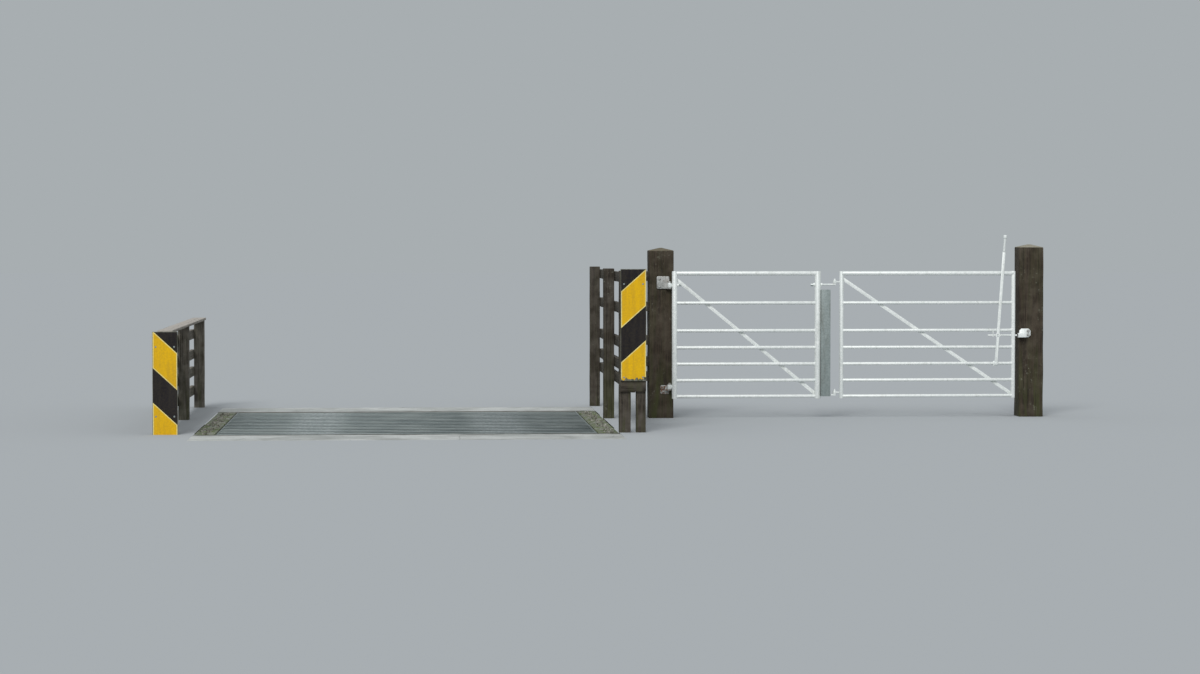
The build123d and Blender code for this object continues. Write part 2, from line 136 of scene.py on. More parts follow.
def work(piece, kind, **settings):
    """Add a modifier with these settings and apply it."""
    pick(piece)
    modifier = piece.modifiers.new(kind.title(), kind)
    for name, value in settings.items():
        setattr(modifier, name, value)
    bpy.ops.object.modifier_apply(modifier=modifier.name)


# %% Helpers for making pieces
def named(name):
    """Name the piece that was just added."""
    piece = bpy.context.object
    piece.name = name
    piece.data.name = name
    return piece


def settle(piece):
    """Write a piece's place, turn and scale into its mesh."""
    pick(piece)
    bpy.ops.object.transform_apply(location=True, rotation=True, scale=True)
    return piece


def block(name, low, high):
    """A box between two corners, ready to be shaped."""
    low, high = Vector(low), Vector(high)
    bpy.ops.mesh.primitive_cube_add(size=1, location=(low + high) / 2, scale=high - low)
    return settle(named(name))


def new_object(name, data):
    made = bpy.data.objects.new(name, data)
    bpy.context.collection.objects.link(made)
    return made


def joined(name, pieces):
    """Several pieces as one mesh under a new name."""
    pick(*pieces)
    if len(pieces) > 1:
        bpy.ops.object.join()
    return named(name)


# %% Helpers for the solids
def corners(piece):
    """Lowest and highest corner of a mesh."""
    points = [v.co for v in piece.data.vertices]
    low = Vector([min(p[axis] for p in points) for axis in (X, Y, Z)])
    high = Vector([max(p[axis] for p in points) for axis in (X, Y, Z)])
    return low, high


def merged_copy(node, name):
    """A copy of a solid with its loose triangles merged into whole faces."""
    piece = new_object(name, nodes[node].data.copy())
    open_up(piece)
    bpy.ops.mesh.remove_doubles(threshold=0.00001)
    bpy.ops.mesh.dissolve_limited(angle_limit=math.radians(1))
    leave()
    return piece


def solids_of(node):
    """Lowest and highest corner of each separate solid in a node."""
    open_up(merged_copy(node, "measured"))
    bpy.ops.mesh.separate(type="LOOSE")
    leave()
    boxes = [corners(part) for part in bpy.context.selected_objects]
    bpy.ops.object.delete()
    return sorted(boxes, key=lambda box: tuple(box[0]))


def coat(piece, material):
    """Give a piece this material alone."""
    piece.data.materials.clear()
    piece.data.materials.append(material)


def place_on(piece, node, material, replaced=True):
    """Give a finished piece its material and let it ride with the body of a node."""
    coat(piece, material)
    if replaced:
        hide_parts(node)
    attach(piece, home[node])
    print(piece.name, "on", node, "has", len(piece.data.polygons), "faces")


# %% [markdown]
# ## A few shader helpers
#
# A finish is a tree of nodes. Written out in full it is long, so small helpers add a node, a noise, a
# soft threshold, a mix of two colours and so on. Every pattern reads Object coordinates. The pieces
# sit at the origin, so a pattern keeps its real scale and stays with its piece when a gate swings.

# %% Helpers for shader nodes
def is_output(value):
    return isinstance(value, bpy.types.NodeSocket)


def add(kind, inputs, **settings):
    """Add a node to the tree of the outputs that feed it. The other inputs get values."""
    tree = next(value.id_data for value in inputs.values() if is_output(value))
    made = tree.nodes.new(kind)
    for name, value in settings.items():
        setattr(made, name, value)
    for name, value in inputs.items():
        if is_output(value):
            tree.links.new(value, made.inputs[name])
        else:
            made.inputs[name].default_value = value
    return made


def noise(vector, scale, detail=4.0, roughness=0.6):
    inputs = {"Vector": vector, "Scale": scale, "Detail": detail, "Roughness": roughness}
    return add("ShaderNodeTexNoise", inputs).outputs["Fac"]


def rise(value, low, high):
    """0 below low, 1 above high and smooth between. With low over high it falls."""
    inputs = {"Value": value, "From Min": low, "From Max": high}
    made = add("ShaderNodeMapRange", inputs, interpolation_type="SMOOTHSTEP")
    return made.outputs["Result"]


def reckon(operation, first, second=0.0):
    return add("ShaderNodeMath", {0: first, 1: second}, operation=operation).outputs[0]


def times(first, second):
    return reckon("MULTIPLY", first, second)


def stretched(place, by):
    """Places multiplied along each axis. A small factor draws a pattern out along its axis."""
    inputs = {0: place, 1: by}
    return add("ShaderNodeVectorMath", inputs, operation="MULTIPLY").outputs[0]


# %% Helpers for node groups
def feed(node, **values):
    """Link outputs to a node's inputs. A blank in an input's name is written as _."""
    for name, value in values.items():
        node.id_data.links.new(value, node.inputs[name.replace("_", " ")])


def new_group(name, takes, gives):
    """A node group with named inputs and outputs, and its two end nodes."""
    group = bpy.data.node_groups.new(name, "ShaderNodeTree")
    for label, kind in takes.items():
        group.interface.new_socket(label, in_out="INPUT", socket_type=f"NodeSocket{kind}")
    for label in gives:
        group.interface.new_socket(label, in_out="OUTPUT", socket_type="NodeSocketFloat")
    way_in = group.nodes.new("NodeGroupInput")
    way_out = group.nodes.new("NodeGroupOutput")
    return group, way_in.outputs, way_out


def count_nodes(*made):
    """Print how many nodes each group or material has."""
    for one in made:
        tree = one if isinstance(one, bpy.types.NodeTree) else one.node_tree
        print(one.name, "has", len(tree.nodes), "nodes")


# %% [markdown]
# ## Effects that several materials share
#
# Weather leaves the same marks on concrete, timber and zinc: broad patches, fine specks and streaks
# that run down. One group gives all three as masks. Timber has a group of its own, in which noise is
# drawn out along the grain for its fibres and its splits. A split is where a slow noise crosses its
# middle value, and a second noise opens it and lets it close again.

# %% Node group for weather marks
weather, given, way_out = new_group(
    "weather_marks", {"Vector": "Vector", "Size": "Float"}, ["Broad", "Fine", "Streak"]
)
patch_scale = reckon("DIVIDE", 1.0, given["Size"])
broad = noise(given["Vector"], patch_scale, 5.0)
fine = noise(given["Vector"], times(patch_scale, 14.0), 3.0, 0.7)
drawn_out = stretched(given["Vector"], (1.0, 1.0, 0.08))
streak = noise(drawn_out, times(patch_scale, 7.0), 4.0, 0.65)
feed(
    way_out,
    Broad=rise(broad, 0.36, 0.64),
    Fine=rise(fine, 0.35, 0.65),
    Streak=rise(streak, 0.40, 0.66),
)
count_nodes(weather)

# %% Node group for sawn grain
def plus(first, second):
    return reckon("ADD", first, second)


def warped(place, scale, reach):
    """Places pushed about by a noise, so that what is drawn on them isn't regular."""
    swirl = add("ShaderNodeTexNoise", {"Vector": place, "Scale": scale, "Detail": 3.0})
    offset = stretched(swirl.outputs["Color"], (reach, reach, reach))
    return add("ShaderNodeVectorMath", {0: place, 1: offset}, operation="ADD").outputs[0]


sawn_grain, given, way_out = new_group(
    "sawn_grain", {"Vector": "Vector", "Squeeze": "Vector"}, ["Fibre", "Split", "Bloom"]
)
along_grain = stretched(given["Vector"], given["Squeeze"])
fibre = noise(along_grain, 70.0, 5.0, 0.7)
wavering = warped(along_grain, 14.0, 0.014)
straightened = stretched(wavering, given["Squeeze"])
wander = noise(straightened, 16.0, 2.0, 0.5)
off_line = reckon("ABSOLUTE", reckon("SUBTRACT", wander, 0.5))
drying = rise(noise(along_grain, 11.0, 3.0, 0.6), 0.46, 0.66)
hair_width = 0.0006
gape = plus(times(drying, 0.013), hair_width)
bloom = noise(given["Vector"], 9.0, 4.0, 0.6)
feed(
    way_out,
    Fibre=rise(fibre, 0.3, 0.7),
    Split=rise(off_line, gape, 0.0),
    Bloom=rise(bloom, 0.35, 0.7),
)
count_nodes(sawn_grain)

# %% Helpers for materials
def srgb(red, green, blue):
    """A colour as a paint chart gives it, from 0 to 255, made linear."""
    values = []
    for value in (red, green, blue):
        share = value / 255
        linear = share / 12.92 if share <= 0.04045 else ((share + 0.055) / 1.055) ** 2.4
        values.append(linear)
    return (*values, 1.0)


def new_material(name, **fixed):
    """A material with its shader and the place of each point."""
    material = bpy.data.materials.new(name)
    material.use_nodes = True
    tree = material.node_tree
    shader = tree.nodes["Principled BSDF"]
    for socket, value in fixed.items():
        shader.inputs[socket.replace("_", " ")].default_value = value
    place = tree.nodes.new("ShaderNodeTexCoord").outputs["Object"]
    return material, shader, place


def use(group, **inputs):
    """Place a group in a material. Returns its outputs by name."""
    return add("ShaderNodeGroup", inputs, node_tree=group).outputs


def mix(share, first, second, strength=None):
    """The first colour where share is 0, the second where it is 1. Strength weakens the share."""
    if strength is not None:
        share = times(share, strength)
    inputs = {0: share, 6: first, 7: second}
    return add("ShaderNodeMix", inputs, data_type="RGBA").outputs[2]


def coordinate(place, axis):
    return add("ShaderNodeSeparateXYZ", {"Vector": place}).outputs[axis]


def raise_bumps(shader, height, distance, strength=1.0):
    """Let a height change the way the surface faces."""
    inputs = {"Height": height, "Distance": distance, "Strength": strength}
    feed(shader, Normal=add("ShaderNodeBump", inputs).outputs["Normal"])


# %% [markdown]
# ## Concrete
#
# The pit is cast concrete: pale where traffic scrubs it, stained in patches, pitted, and green with
# moss wherever nothing drives. The same recipe serves the scrubbed ends and the mossy walls, with one
# number for how much moss there is. A dark line is painted where the concrete ends at the bars: partly
# grit and wet dirt, partly painted shade of the gap beside the bars. A threshold on the distance from
# the bars makes that line, and noise makes it ragged.

# %% Concrete finish
bars_end = -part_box("near_panel_edges")[0].y
# how far the painted dark line of dirt and shade reaches from the bars
dirt_and_shade_reach = 0.11


def cracks(place):
    """Hairlines between large wandering cells, open in some places only."""
    cells = add(
        "ShaderNodeTexVoronoi",
        {"Vector": warped(place, 3.0, 0.11), "Scale": 1.3},
        feature="DISTANCE_TO_EDGE",
    )
    line = rise(cells.outputs["Distance"], 0.0026, 0.0008)
    return times(line, rise(noise(place, 1.7), 0.46, 0.54))


def concrete(name, moss, pale, grey, dirt_and_shade_strength=0.0):
    """Cast concrete with more or less moss, and a dark line of dirt and painted shade beside the bars."""
    material, shader, place = new_material(name, Specular_IOR_Level=0.35)
    marks = use(weather, Vector=place, Size=0.55)
    colour = mix(marks["Broad"], grey, pale)
    sand = add("ShaderNodeTexVoronoi", {"Vector": place, "Scale": 190.0})
    grain_shade = coordinate(sand.outputs["Color"], "X")
    colour = mix(grain_shade, colour, srgb(112, 108, 98), 0.22)
    pit = rise(noise(place, 105.0, 3.0, 0.6), 0.61, 0.70)
    colour = mix(pit, colour, srgb(92, 90, 82), 0.38)
    damp = rise(noise(warped(place, 2.0, 0.4), 2.4, 7.0, 0.65), 0.47, 0.60)
    colour = mix(damp, colour, srgb(116, 116, 108), 0.30)
    crack = cracks(place)
    colour = mix(crack, colour, srgb(58, 56, 48), 0.8)
    growth = noise(place, 15.0, 9.0, 0.72)
    growing = rise(growth, 0.72 - moss * 0.3, 0.82 - moss * 0.3)
    leaflets = rise(noise(place, 170.0, 2.0), 0.36, 0.66)
    green = mix(leaflets, srgb(60, 78, 30), srgb(124, 140, 66))
    colour = mix(growing, colour, green)
    # the dark line by the bars: partly dirt, partly painted shade of the gap between concrete and bars
    from_middle = reckon("ABSOLUTE", coordinate(place, "Y"))
    ragged = times(noise(place, 6.0, 5.0, 0.7), dirt_and_shade_reach)
    edge = reckon("SUBTRACT", from_middle, ragged)
    dirt_and_shade_mask = rise(edge, bars_end + dirt_and_shade_reach * 0.75, bars_end + dirt_and_shade_reach * 0.2)
    colour = mix(dirt_and_shade_mask, colour, srgb(66, 62, 50), dirt_and_shade_strength)
    roughness = plus(times(damp, -0.2), 0.75)
    feed(shader, Base_Color=colour, Roughness=roughness)
    cushions = times(growing, plus(leaflets, 1.0))
    hollows = plus(crack, times(pit, 0.5))
    lumps = plus(times(grain_shade, 0.15), cushions)
    raise_bumps(shader, reckon("SUBTRACT", lumps, hollows), 0.003, 0.8)
    return material


scrubbed_concrete = concrete(
    "scrubbed_concrete", 0.1, srgb(206, 209, 206), srgb(172, 176, 173), dirt_and_shade_strength=0.8
)
mossy_concrete = concrete("mossy_concrete", 0.86, srgb(164, 166, 154), srgb(122, 126, 114))
damp_concrete = concrete("damp_concrete", 0.5, srgb(150, 152, 144), srgb(108, 110, 102))
for node_name in ("pit_floor", "left_sleeper_wall", "right_sleeper_wall"):
    coat(nodes[node_name], damp_concrete)
count_nodes(scrubbed_concrete, mossy_concrete, damp_concrete)

# %% [markdown]
# The two ends of the pit show as pale strips across the road, and the side walls as mossy kerbs. Their
# arrises are chipped. A wall is first cut into short lengths, then its top arrises are rounded, and a
# noise pushes its surface in and out by a few millimetres. Earth hides the lower arrises, so they stay
# as they are.

# %% Chipped walls
def clouds(name, size):
    texture = bpy.data.textures.new(name, "CLOUDS")
    texture.noise_scale = size
    texture.noise_depth = 3
    return texture


def push_about(piece, texture, strength, mid_level=0.5, **settings):
    """Push a surface in and out by a noise."""
    settings.update(texture=texture, texture_coords="LOCAL", strength=strength, mid_level=mid_level)
    work(piece, "DISPLACE", **settings)


chips = clouds("chips", 0.09)
chip_depth = 0.006
face_length = 0.06
top_band = 0.02


def chipped(node, arris, material):
    """A wall rebuilt with an uneven surface and crumbled top arrises."""
    piece = merged_copy(node, f"{node}_cast")
    low, high = corners(piece)
    size = high - low
    along = X if size.x > size.y else Y
    subdivide(piece, "EDGE", lies_along(along), int(size[along] / face_length))
    near_top = high.z - top_band

    def is_top_arris(middle, way):
        return middle.z > near_top and abs(way[along]) > 0.9 and abs(way.z) < 0.1

    bevel(piece, "EDGE", is_top_arris, arris)
    push_about(piece, chips, chip_depth, 0.6)
    place_on(piece, node, material)


for side in ("near", "far"):
    chipped(f"{side}_abutment", 0.004, scrubbed_concrete)
for side in ("left", "right"):
    chipped(f"{side}_side_wall", 0.012, mossy_concrete)

# %% [markdown]
# ## What lies in and on the pit
#
# Under the bars a pit fills with silt. It lies in three beds between the ledges and the sleeper walls.
# The top of each is cut into small faces and lifted by a slow noise, so that it lies deeper in some
# places. Traffic also throws grit on the kerbs: one stone is shaped from an icosphere, and copies of
# it, each turned and scaled by a seeded random number, lie along the wall tops.

# %% Silt between the walls
silt_finish, shader, place = new_material("silt", Specular_IOR_Level=0.5)
marks = use(weather, Vector=place, Size=0.4)
wet_mud = mix(marks["Broad"], srgb(52, 46, 38), srgb(92, 84, 70))
feed(
    shader,
    Base_Color=mix(marks["Fine"], wet_mud, srgb(70, 66, 56)),
    Roughness=rise(marks["Broad"], -0.4, 1.3),
)
raise_bumps(shader, marks["Fine"], 0.006)
count_nodes(silt_finish)


def smooth(piece, degrees=38):
    """Shade a piece smoothly, but keep the edges where it turns by more than this."""
    pick(piece)
    bpy.ops.object.shade_smooth_by_angle(angle=math.radians(degrees))


swell = clouds("silt_swell", 0.5)
swell_height = 0.07
silt_depth = 0.045
silt_cuts = 26
floor_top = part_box("pit_floor")[1].z
left_sleeper, right_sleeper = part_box("left_sleeper_wall"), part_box("right_sleeper_wall")
near_y, far_y = left_sleeper[0].y, left_sleeper[1].y
ledge_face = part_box("left_side_wall")[1].x
bays = [
    (ledge_face, left_sleeper[0].x),
    (left_sleeper[1].x, right_sleeper[0].x),
    (right_sleeper[1].x, -ledge_face),
]
beds = []
for bay_left, bay_right in bays:
    bed = block("silt", (bay_left, near_y, floor_top), (bay_right, far_y, floor_top + silt_depth))
    subdivide(bed, "FACE", faces_up, silt_cuts)
    top = [v.index for v in bed.data.vertices if v.co.z > floor_top + silt_depth / 2]
    bed.vertex_groups.new(name="top").add(top, 1.0, "ADD")
    push_about(bed, swell, swell_height, direction="Z", vertex_group="top")
    smooth(bed, 40)
    beds.append(bed)
place_on(joined("silt_beds", beds), "pit_floor", silt_finish, replaced=False)

# %% Grit on the kerbs
grit_finish, shader, place = new_material("grit", Specular_IOR_Level=0.4, Roughness=0.8)
marks = use(weather, Vector=place, Size=0.06)
grit_colour = mix(marks["Broad"], srgb(88, 86, 76), srgb(158, 156, 146))
feed(shader, Base_Color=grit_colour)
count_nodes(grit_finish)


def copy_of(piece, move=(0, 0, 0), turn=(0, 0, 0), scale=(1, 1, 1)):
    """A copy with its own mesh, moved, turned and scaled."""
    twin = new_object(piece.name, piece.data.copy())
    twin.location = move
    twin.rotation_euler = turn
    twin.scale = scale
    return twin


random.seed(7)
stone_size = 0.012
stone_lumps = 0.008
stone_lift = 0.003
stones_per_kerb = 120
kerb_clearance = 0.015
kerb_margin = 0.02
end_margin = 0.03
kerb_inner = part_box("near_panel_edges")[1].x + kerb_clearance
kerb_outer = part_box("right_side_wall")[1].x
bpy.ops.mesh.primitive_ico_sphere_add(subdivisions=2, radius=stone_size)
stone = settle(named("stone"))
push_about(stone, clouds("stone", stone_size), stone_lumps)
work(stone, "DECIMATE", ratio=0.5)
stones = []
for side, away in (("left", -1), ("right", 1)):
    low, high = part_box(f"{side}_side_wall")
    for count in range(stones_per_kerb):
        x = away * random.triangular(kerb_inner + kerb_margin, kerb_outer - kerb_margin)
        y = random.uniform(low.y + end_margin, high.y - end_margin)
        turn = [random.uniform(0, math.tau) for axis in range(3)]
        size = random.triangular(0.35, 1.25, 0.5)
        flat = (size, size * random.uniform(0.7, 1.2), size * 0.6)
        stones.append(copy_of(stone, (x, y, road + stone_lift * size), turn, flat))
bpy.data.objects.remove(stone)
grit = settle(joined("kerb_grit", stones))
place_on(grit, "left_side_wall", grit_finish, replaced=False)
print(len(stones), "stones on the kerbs")

# %% [markdown]
# ## The deck
#
# Rolled steel is never quite sharp at its edges, and those soft edges are what catch the light. Each
# panel is a merged copy of its solids with a narrow bevel on every arris. The finish depends on height:
# tyres keep the bar tops grey and bright, brightest in the two wheel tracks, and the webs below stay
# dark with rust and dirt.

# %% Worn bar steel
wheel_track = 0.78
track_half = 0.34
bar_steel, shader, place = new_material("worn_bar_steel", Metallic=0.55)
marks = use(weather, Vector=place, Size=0.35)
across = reckon("ABSOLUTE", coordinate(place, "X"))
off_track = reckon("ABSOLUTE", reckon("SUBTRACT", across, wheel_track))
in_track = rise(off_track, track_half, track_half * 0.3)
bright = mix(marks["Fine"], srgb(150, 160, 160), srgb(182, 190, 189))
dull = mix(marks["Broad"], srgb(122, 133, 132), srgb(150, 159, 157))
tops = mix(in_track, dull, bright, 0.75)
rust = mix(marks["Streak"], srgb(42, 36, 31), srgb(74, 54, 41))
grime = mix(marks["Fine"], rust, srgb(86, 78, 64), 0.5)
below = rise(coordinate(place, "Z"), road - 0.009, road - 0.030)
dullness = plus(times(marks["Broad"], 0.18), times(below, 0.35))
feed(shader, Base_Color=mix(below, tops, grime), Roughness=plus(dullness, 0.30))
raise_bumps(shader, marks["Fine"], 0.0008, 0.7)
count_nodes(bar_steel)


# %% Steel with soft edges
def eased(node, arris, material):
    """A solid rebuilt with rounded arrises."""
    piece = merged_copy(node, f"{node}_finished")
    work(
        piece,
        "BEVEL",
        width=arris,
        segments=2,
        limit_method="ANGLE",
        angle_limit=math.radians(38),
        use_clamp_overlap=True,
    )
    smooth(piece)
    place_on(piece, node, material)


for panel in ("near", "middle", "far"):
    eased(f"{panel}_panel_bars", 0.002, bar_steel)
    eased(f"{panel}_panel_edges", 0.0015, bar_steel)

# %% [markdown]
# Each bar is welded to the edge flats at both ends. A bead is a short rod, lumpy like a string of
# overlapping drops, and one lies across each end of each bar's top flange.

# %% Weld beads at the bar ends
weld_ripple = clouds("weld_ripple", 0.006)
bead_length = 0.060
bead_radius = 0.004
bead_inset = 0.001
bead_depth = 0.0035
to_x = (0, math.radians(90), 0)  # lays what stands along X
to_y = (0, 0, math.radians(90))  # turns what lies along X to Y


def cylinder(name, sides, radius, length, middle=(0, 0, 0), turn=(0, 0, 0)):
    """A cylinder, or a prism if it has few sides, ready to be shaped."""
    bpy.ops.mesh.primitive_cylinder_add(
        vertices=sides, radius=radius, depth=length, location=middle, rotation=turn
    )
    return settle(named(name))


bead = cylinder("bead", 8, bead_radius, bead_length, turn=to_x)
subdivide(bead, "EDGE", lies_along(X), 8)
push_about(bead, weld_ripple, bead_radius * 0.8)
pick(bead)
bpy.ops.object.shade_smooth()
beads = []
for panel in ("near", "middle", "far"):
    for low, high in solids_of(f"{panel}_panel_bars"):
        middle_y = (low.y + high.y) / 2
        for end_x in (low.x + bead_inset, high.x - bead_inset):
            beads.append(copy_of(bead, (end_x, middle_y, high.z - bead_depth), to_y))
bpy.data.objects.remove(bead)
deck_welds = settle(joined("deck_welds", beads))
place_on(deck_welds, "near_panel_bars", bar_steel, replaced=False)
print(len(beads), "weld beads on the deck")

# %% [markdown]
# ## Sawn timber
#
# The right wing and the gate posts are sawn oak, nearly black with age, and the left wing is greyer.
# The left wing's oak is also painted lighter, to lift the lamp's shade on its sides towards the road.
# Each wing has three finishes, which differ only in which way the grain runs. Where the timber faces
# the sky it is painted paler, partly for its silvering and partly as painted sky light; lichen crusts
# it, and algae tint it green from the ground up. The group gives the fibres and the splits, and both
# also feed the bump, so that a split is dark and sunk at once.
# The posts' sawn tops show growth rings: a wave texture of rings, centred on the heart of the tree.

# %% Timber finishes
grain_squeeze = {X: (0.06, 1.0, 1.0), Y: (1.0, 0.06, 1.0), Z: (1.0, 1.0, 0.06)}
ring_scale = 48.0


def growth_rings(place, heart):
    """Rings about an upright line through the heart of the tree."""
    inputs = {"Vector": place, "Location": (-heart.x, -heart.y, 0)}
    centred = add("ShaderNodeMapping", inputs).outputs[0]
    inputs = {"Vector": centred, "Scale": ring_scale, "Distortion": 5.0, "Detail": 3.0}
    shape = {"wave_type": "RINGS", "rings_direction": "Z"}
    return add("ShaderNodeTexWave", inputs, **shape).outputs["Fac"]


def timber_finish(name, along, dark, pale, silver, algae=0.5, lichen=0.3, top=None, heart=None):
    """Weathered timber whose grain runs along an axis, with its growth rings round its heart."""
    material, shader, place = new_material(name, Specular_IOR_Level=0.25, Roughness=0.85)
    # top is the colour of faces towards the sky, partly silvering and partly painted sky light; end grain takes
    # some of it too
    top = top or silver
    grain = use(sawn_grain, Vector=place, Squeeze=grain_squeeze[along])
    marks = use(weather, Vector=place, Size=0.3)
    colour = mix(grain["Fibre"], dark, pale)
    colour = mix(grain["Bloom"], colour, silver, 0.55)
    facing = material.node_tree.nodes.new("ShaderNodeNewGeometry").outputs["Normal"]
    # faces towards the sky go paler: partly silvering, partly painted sky light
    silvering_and_sky_light = rise(coordinate(facing, "Z"), 0.35, 0.9)
    colour = mix(silvering_and_sky_light, colour, top, 0.85)
    low_down = rise(coordinate(place, "Z"), road + 0.75, road - 0.05)
    wet_green = times(plus(low_down, 0.35), marks["Streak"])
    colour = mix(wet_green, colour, srgb(64, 68, 38), algae)
    crust = rise(noise(place, 30.0, 8.0, 0.75), 0.58, 0.64)
    crusted = times(crust, rise(marks["Broad"], 0.35, 0.8))
    lichen_colour = mix(marks["Fine"], srgb(134, 138, 118), srgb(178, 180, 164))
    colour = mix(crusted, colour, lichen_colour, lichen)
    along_normal = reckon("ABSOLUTE", coordinate(facing, "XYZ"[along]))
    end_face = rise(along_normal, 0.5, 0.8)
    colour = mix(end_face, colour, top, 0.4)
    split = times(grain["Split"], reckon("SUBTRACT", 1.0, end_face))
    colour = mix(split, colour, srgb(18, 15, 12), 0.85)
    if heart is not None:
        ring_lines = times(growth_rings(place, heart), end_face)
        colour = mix(ring_lines, colour, srgb(84, 74, 58), 0.4)
    feed(shader, Base_Color=colour)
    ridges = times(grain["Fibre"], 0.35)
    relief = reckon("SUBTRACT", ridges, times(split, 1.2))
    raise_bumps(shader, relief, 0.003, 0.9)
    return material


def oak_each_way(name, *colours):
    """One finish for timbers that run along each axis."""
    return {axis: timber_finish(f"{name}_{'xyz'[axis]}", axis, *colours) for axis in (X, Y, Z)}


aged_oak = oak_each_way("aged_oak", srgb(36, 31, 26), srgb(70, 63, 54), srgb(96, 90, 82))
# the left wing's oak: partly its own grey, partly painted light that lifts the lamp's shade on its faces towards
# the road
grey_oak_painted_lighter = oak_each_way("grey_oak_painted_lighter", srgb(66, 62, 55), srgb(112, 106, 96), srgb(142, 136, 126))
# the cap's pale oak: partly silvering, partly painted sky light on its top
silvered_sky_lit_oak = timber_finish(
    "silvered_sky_lit_oak",
    Y,
    srgb(112, 106, 98),
    srgb(164, 158, 149),
    srgb(180, 174, 166),
    algae=0.25,
    lichen=0.6,
)
count_nodes(*aged_oak.values(), *grey_oak_painted_lighter.values(), silvered_sky_lit_oak)

# %% [markdown]
# A timber starts as a box, but a box has dead straight edges. First its arrises are bevelled, then
# each long edge is cut every few centimetres and the whole surface is pushed about by a slow noise, as
# a saw and the weather leave it. Long drying splits are cut last: each cutter is a sphere stretched to
# a thin lens, and one boolean takes them all out.

# %% Drying splits
split_half_lengths = (0.14, 0.42)
split_half_widths = (0.0012, 0.0026)
split_depth = 0.010
split_spread = 0.28
wide_face = 0.15  # a wider one gets two splits


def split_cutter(low, high, along):
    """Lens-shaped cutters on the long faces of a timber, joined as one."""
    size = high - low
    middle = (low + high) / 2
    cutters = []
    for face_axis in [axis for axis in (X, Y, Z) if axis != along]:
        width_axis = 3 - along - face_axis
        for side in (-1, 1):
            for count in range(1 + (size[width_axis] > wide_face)):
                half_length = min(size[along] * 0.3, random.uniform(*split_half_lengths))
                place = middle.copy()
                place[face_axis] = middle[face_axis] + side * size[face_axis] / 2
                reach = size[along] / 2 - half_length
                place[along] += random.uniform(-reach, reach)
                place[width_axis] += random.uniform(-split_spread, split_spread) * size[width_axis]
                radii = Vector()
                radii[along] = half_length
                radii[width_axis] = random.uniform(*split_half_widths)
                radii[face_axis] = min(split_depth, size[face_axis] * 0.2)
                bpy.ops.mesh.primitive_ico_sphere_add(subdivisions=2, radius=1, location=place)
                cutter = named("cutter")
                cutter.scale = radii
                cutters.append(settle(cutter))
    return joined("splits", cutters)


def carve(piece, cutter):
    """Take the cutter out of a piece. Its lenses may cross each other."""
    work(piece, "BOOLEAN", object=cutter, operation="DIFFERENCE", solver="EXACT", use_self=True)
    bpy.data.objects.remove(cutter)


# %% Sawn timbers
saw_waver = clouds("saw_waver", 0.22)
waver_depth = 0.005
cut_spacing = 0.07


def bevel_all(piece, width):
    bevel(piece, "EDGE", lambda middle, way: True, width)


def longest_axis(low, high):
    size = high - low
    return max((X, Y, Z), key=lambda axis: size[axis])


def weathered(piece, low, high, along, depth):
    """Push a timber's surface about and cut its drying splits."""
    push_about(piece, saw_waver, depth, 0.6)
    carve(piece, split_cutter(low, high, along))
    smooth(piece, 30)
    return piece


def sawn(name, low, high, arris=0.004):
    """A timber between two corners, its grain along its longest side."""
    along = longest_axis(low, high)
    piece = block(name, low, high)
    bevel_all(piece, arris)
    cuts = max(3, int((high - low)[along] / cut_spacing))
    subdivide(piece, "EDGE", lies_along(along), cuts)
    return weathered(piece, low, high, along, waver_depth)


random.seed(21)
for node_name, oak in (
    ("right_wing_posts", aged_oak),
    ("right_wing_rails", aged_oak),
    ("right_board_leg", aged_oak),
    ("right_board_battens", aged_oak),
    ("return_rails", aged_oak),
    ("left_wing_posts", grey_oak_painted_lighter),
    ("left_wing_rails", grey_oak_painted_lighter),
    ("left_board_battens", grey_oak_painted_lighter),
):
    boxes = solids_of(node_name)
    timbers = joined(f"{node_name}_sawn", [sawn("stick", *box) for box in boxes])
    place_on(timbers, node_name, oak[longest_axis(*boxes[0])])
cap = sawn("left_wing_cap_sawn", *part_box("left_wing_cap"), arris=0.006)
place_on(cap, "left_wing_cap", silvered_sky_lit_oak)

# %% [markdown]
# The two gate posts are whole tree hearts, 220 mm square, with a top cut to four slopes that shed rain.
# Their top face is inset and raised to a small flat, and the shaft then gets the same waver and splits
# as the rest. Their slopes are paler, most on the right one, partly from weathering and partly as
# painted sky light, but the growth rings still show.

# %% Gate posts
post_peak = 0.025
post_weathering = 0.025
post_arris = 0.006
post_waver_depth = 0.009
below_slopes = 0.01


def gate_post(node, material):
    low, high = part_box(node)
    shoulder = high - Vector((0, 0, post_weathering))
    post = block(f"{node}_sawn", low, shoulder)
    choose(post, "FACE", faces_up)
    bpy.ops.mesh.inset(thickness=(high.x - low.x - post_peak) / 2)
    bpy.ops.transform.translate(value=(0, 0, post_weathering))
    leave()
    bevel_all(post, post_arris)
    subdivide(post, "EDGE", lies_along(Z), int((shoulder.z - low.z) / cut_spacing))

    def is_level_on_shaft(middle, way):
        return abs(way.z) < 0.01 and middle.z < shoulder.z - below_slopes

    subdivide(post, "EDGE", is_level_on_shaft, 2)
    place_on(weathered(post, low, shoulder, Z, post_waver_depth), node, material)


# each post's sloped top: partly weathering, partly painted sky light
for side, post_top in (("left", srgb(116, 109, 92)), ("right", srgb(164, 160, 144))):
    low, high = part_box(f"{side}_gate_post")
    post_oak = timber_finish(
        f"post_oak_{side}",
        Z,
        srgb(36, 30, 24),
        srgb(66, 56, 45),
        srgb(88, 80, 68),
        algae=0.7,
        top=post_top,
        heart=(low + high) / 2,
    )
    count_nodes(post_oak)
    gate_post(f"{side}_gate_post", post_oak)

